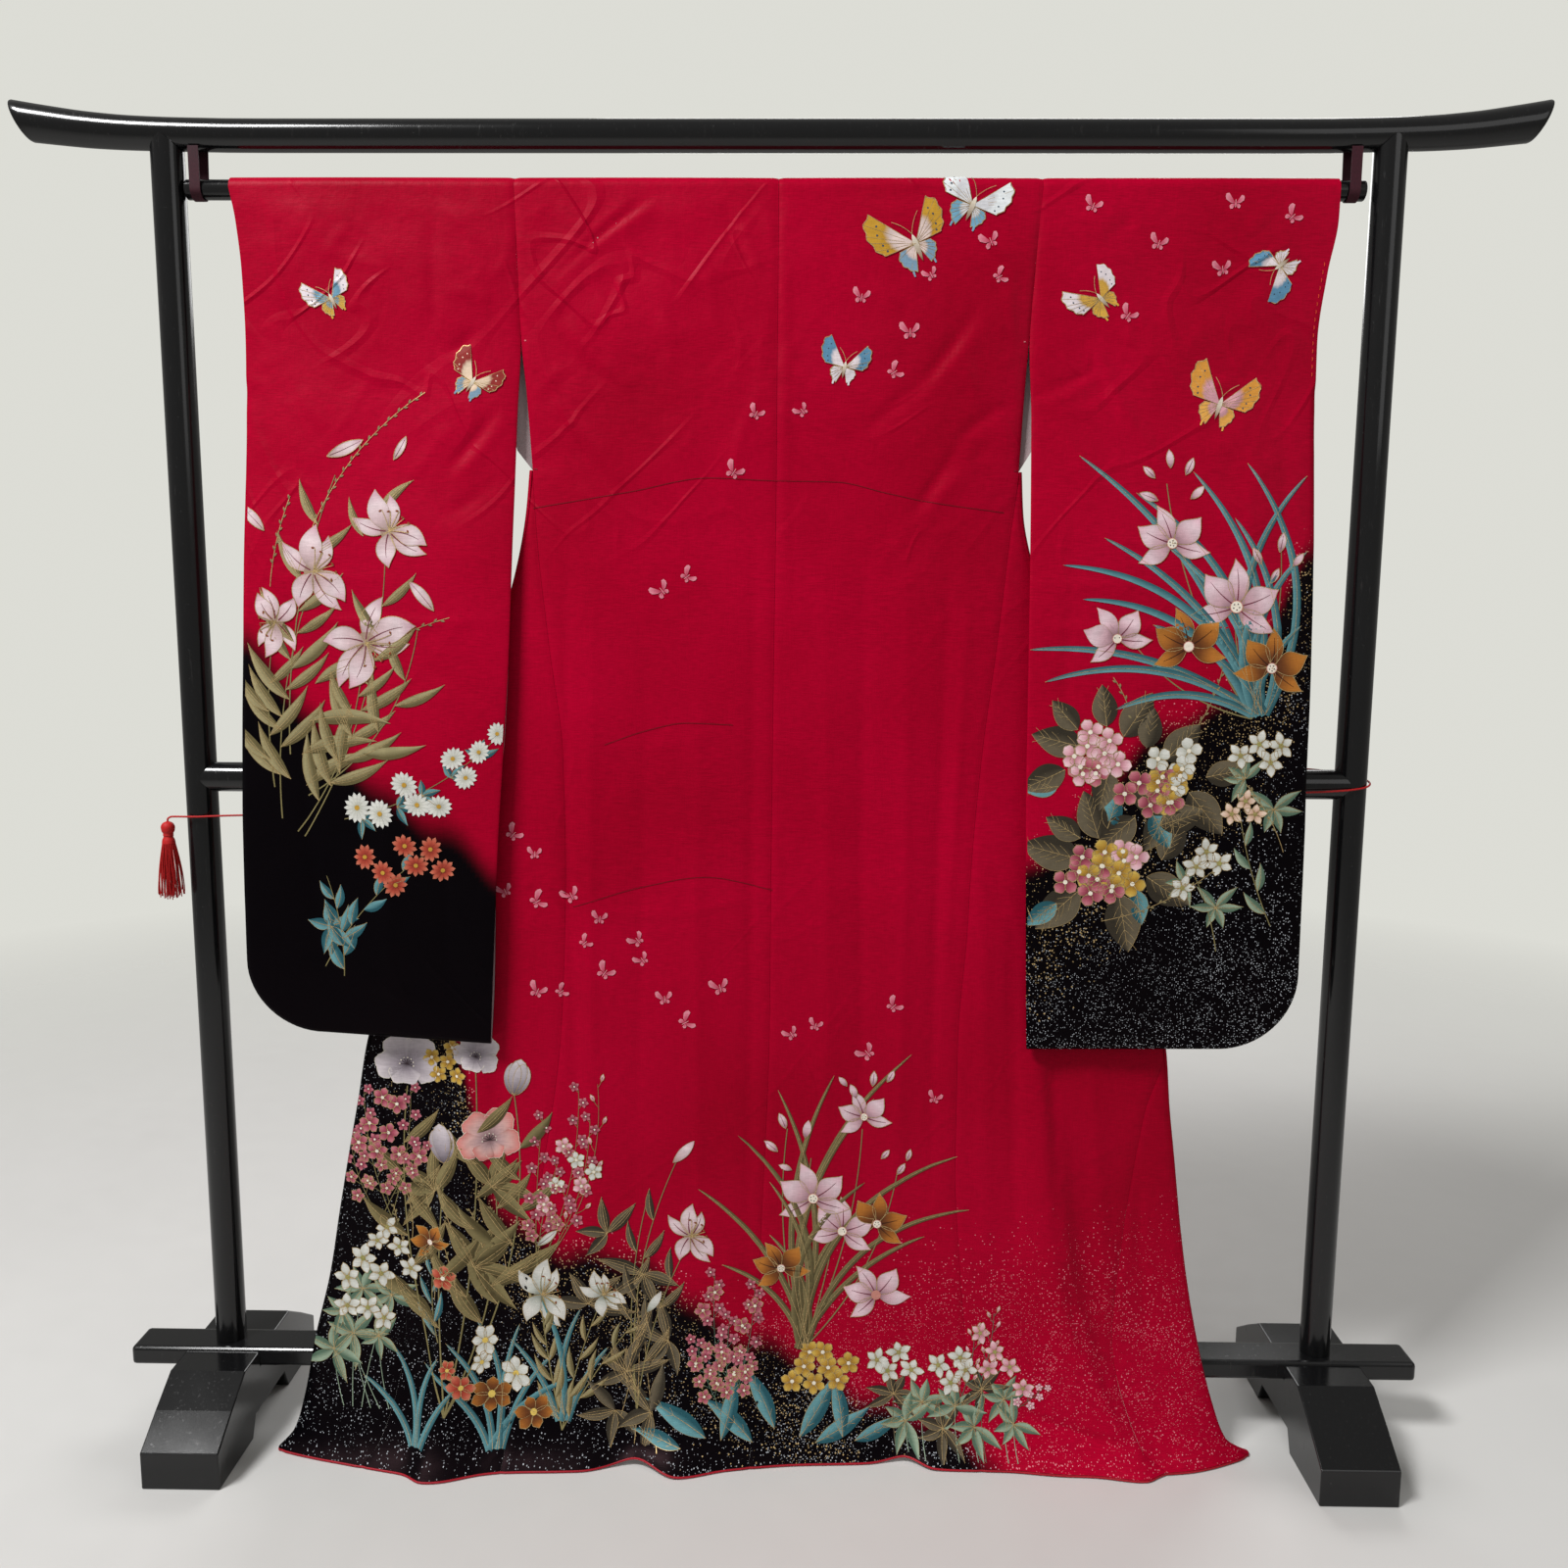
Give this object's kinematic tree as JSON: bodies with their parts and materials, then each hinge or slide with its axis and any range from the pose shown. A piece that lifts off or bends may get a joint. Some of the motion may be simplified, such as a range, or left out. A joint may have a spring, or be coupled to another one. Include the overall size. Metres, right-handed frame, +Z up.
{
  "type": "furisode kimono on a lacquered kimono stand",
  "caption": "Long-sleeved formal kimono hung by its sleeves on the rod of a black lacquered stand, its back spread towards the viewer and its hem just above the floor.",
  "frame": {"origin": "on the floor, midway between the stand's two posts", "axes": "+X runs along the stand to the viewer's right, -Y points to the viewer and the garment's back, +Z is up"},
  "size_m": [1.8012, 0.3248, 1.6668],
  "materials": {
    "red_silk": "crimson figured silk with a soft satin sheen, dyed black towards the sleeve ends and the hem",
    "cover_silk": "the same crimson silk, undyed by the pattern",
    "hem_silk": "plain scarlet silk, rolled",
    "pale_lining": "plain greyish-white silk",
    "lacquer": "black lacquer, glossy, with small scuffs",
    "strap_cloth": "dark woven tape, matt",
    "red_cord": "twisted red silk cord and tassel threads"
  },
  "bodies": {
    "root": {"back_left": "red_silk", "back_right": "red_silk", "front_left": "red_silk", "front_right": "red_silk", "okumi_left": "red_silk", "okumi_right": "red_silk", "collar": "red_silk", "sleeve_left": "red_silk", "sleeve_right": "red_silk", "cover_collar": "cover_silk", "hem_roll": "hem_silk", "sleeve_lining_left": "pale_lining", "sleeve_lining_right": "pale_lining", "top_rail": "lacquer", "mid_rail": "lacquer", "base_board": "lacquer", "foot_left": "lacquer", "foot_right": "lacquer", "post_left": "lacquer", "post_right": "lacquer", "rod": "lacquer", "strap_left": "strap_cloth", "strap_right": "strap_cloth", "cord": "red_cord", "tassel": "red_cord"}
  },
  "joints": []
}
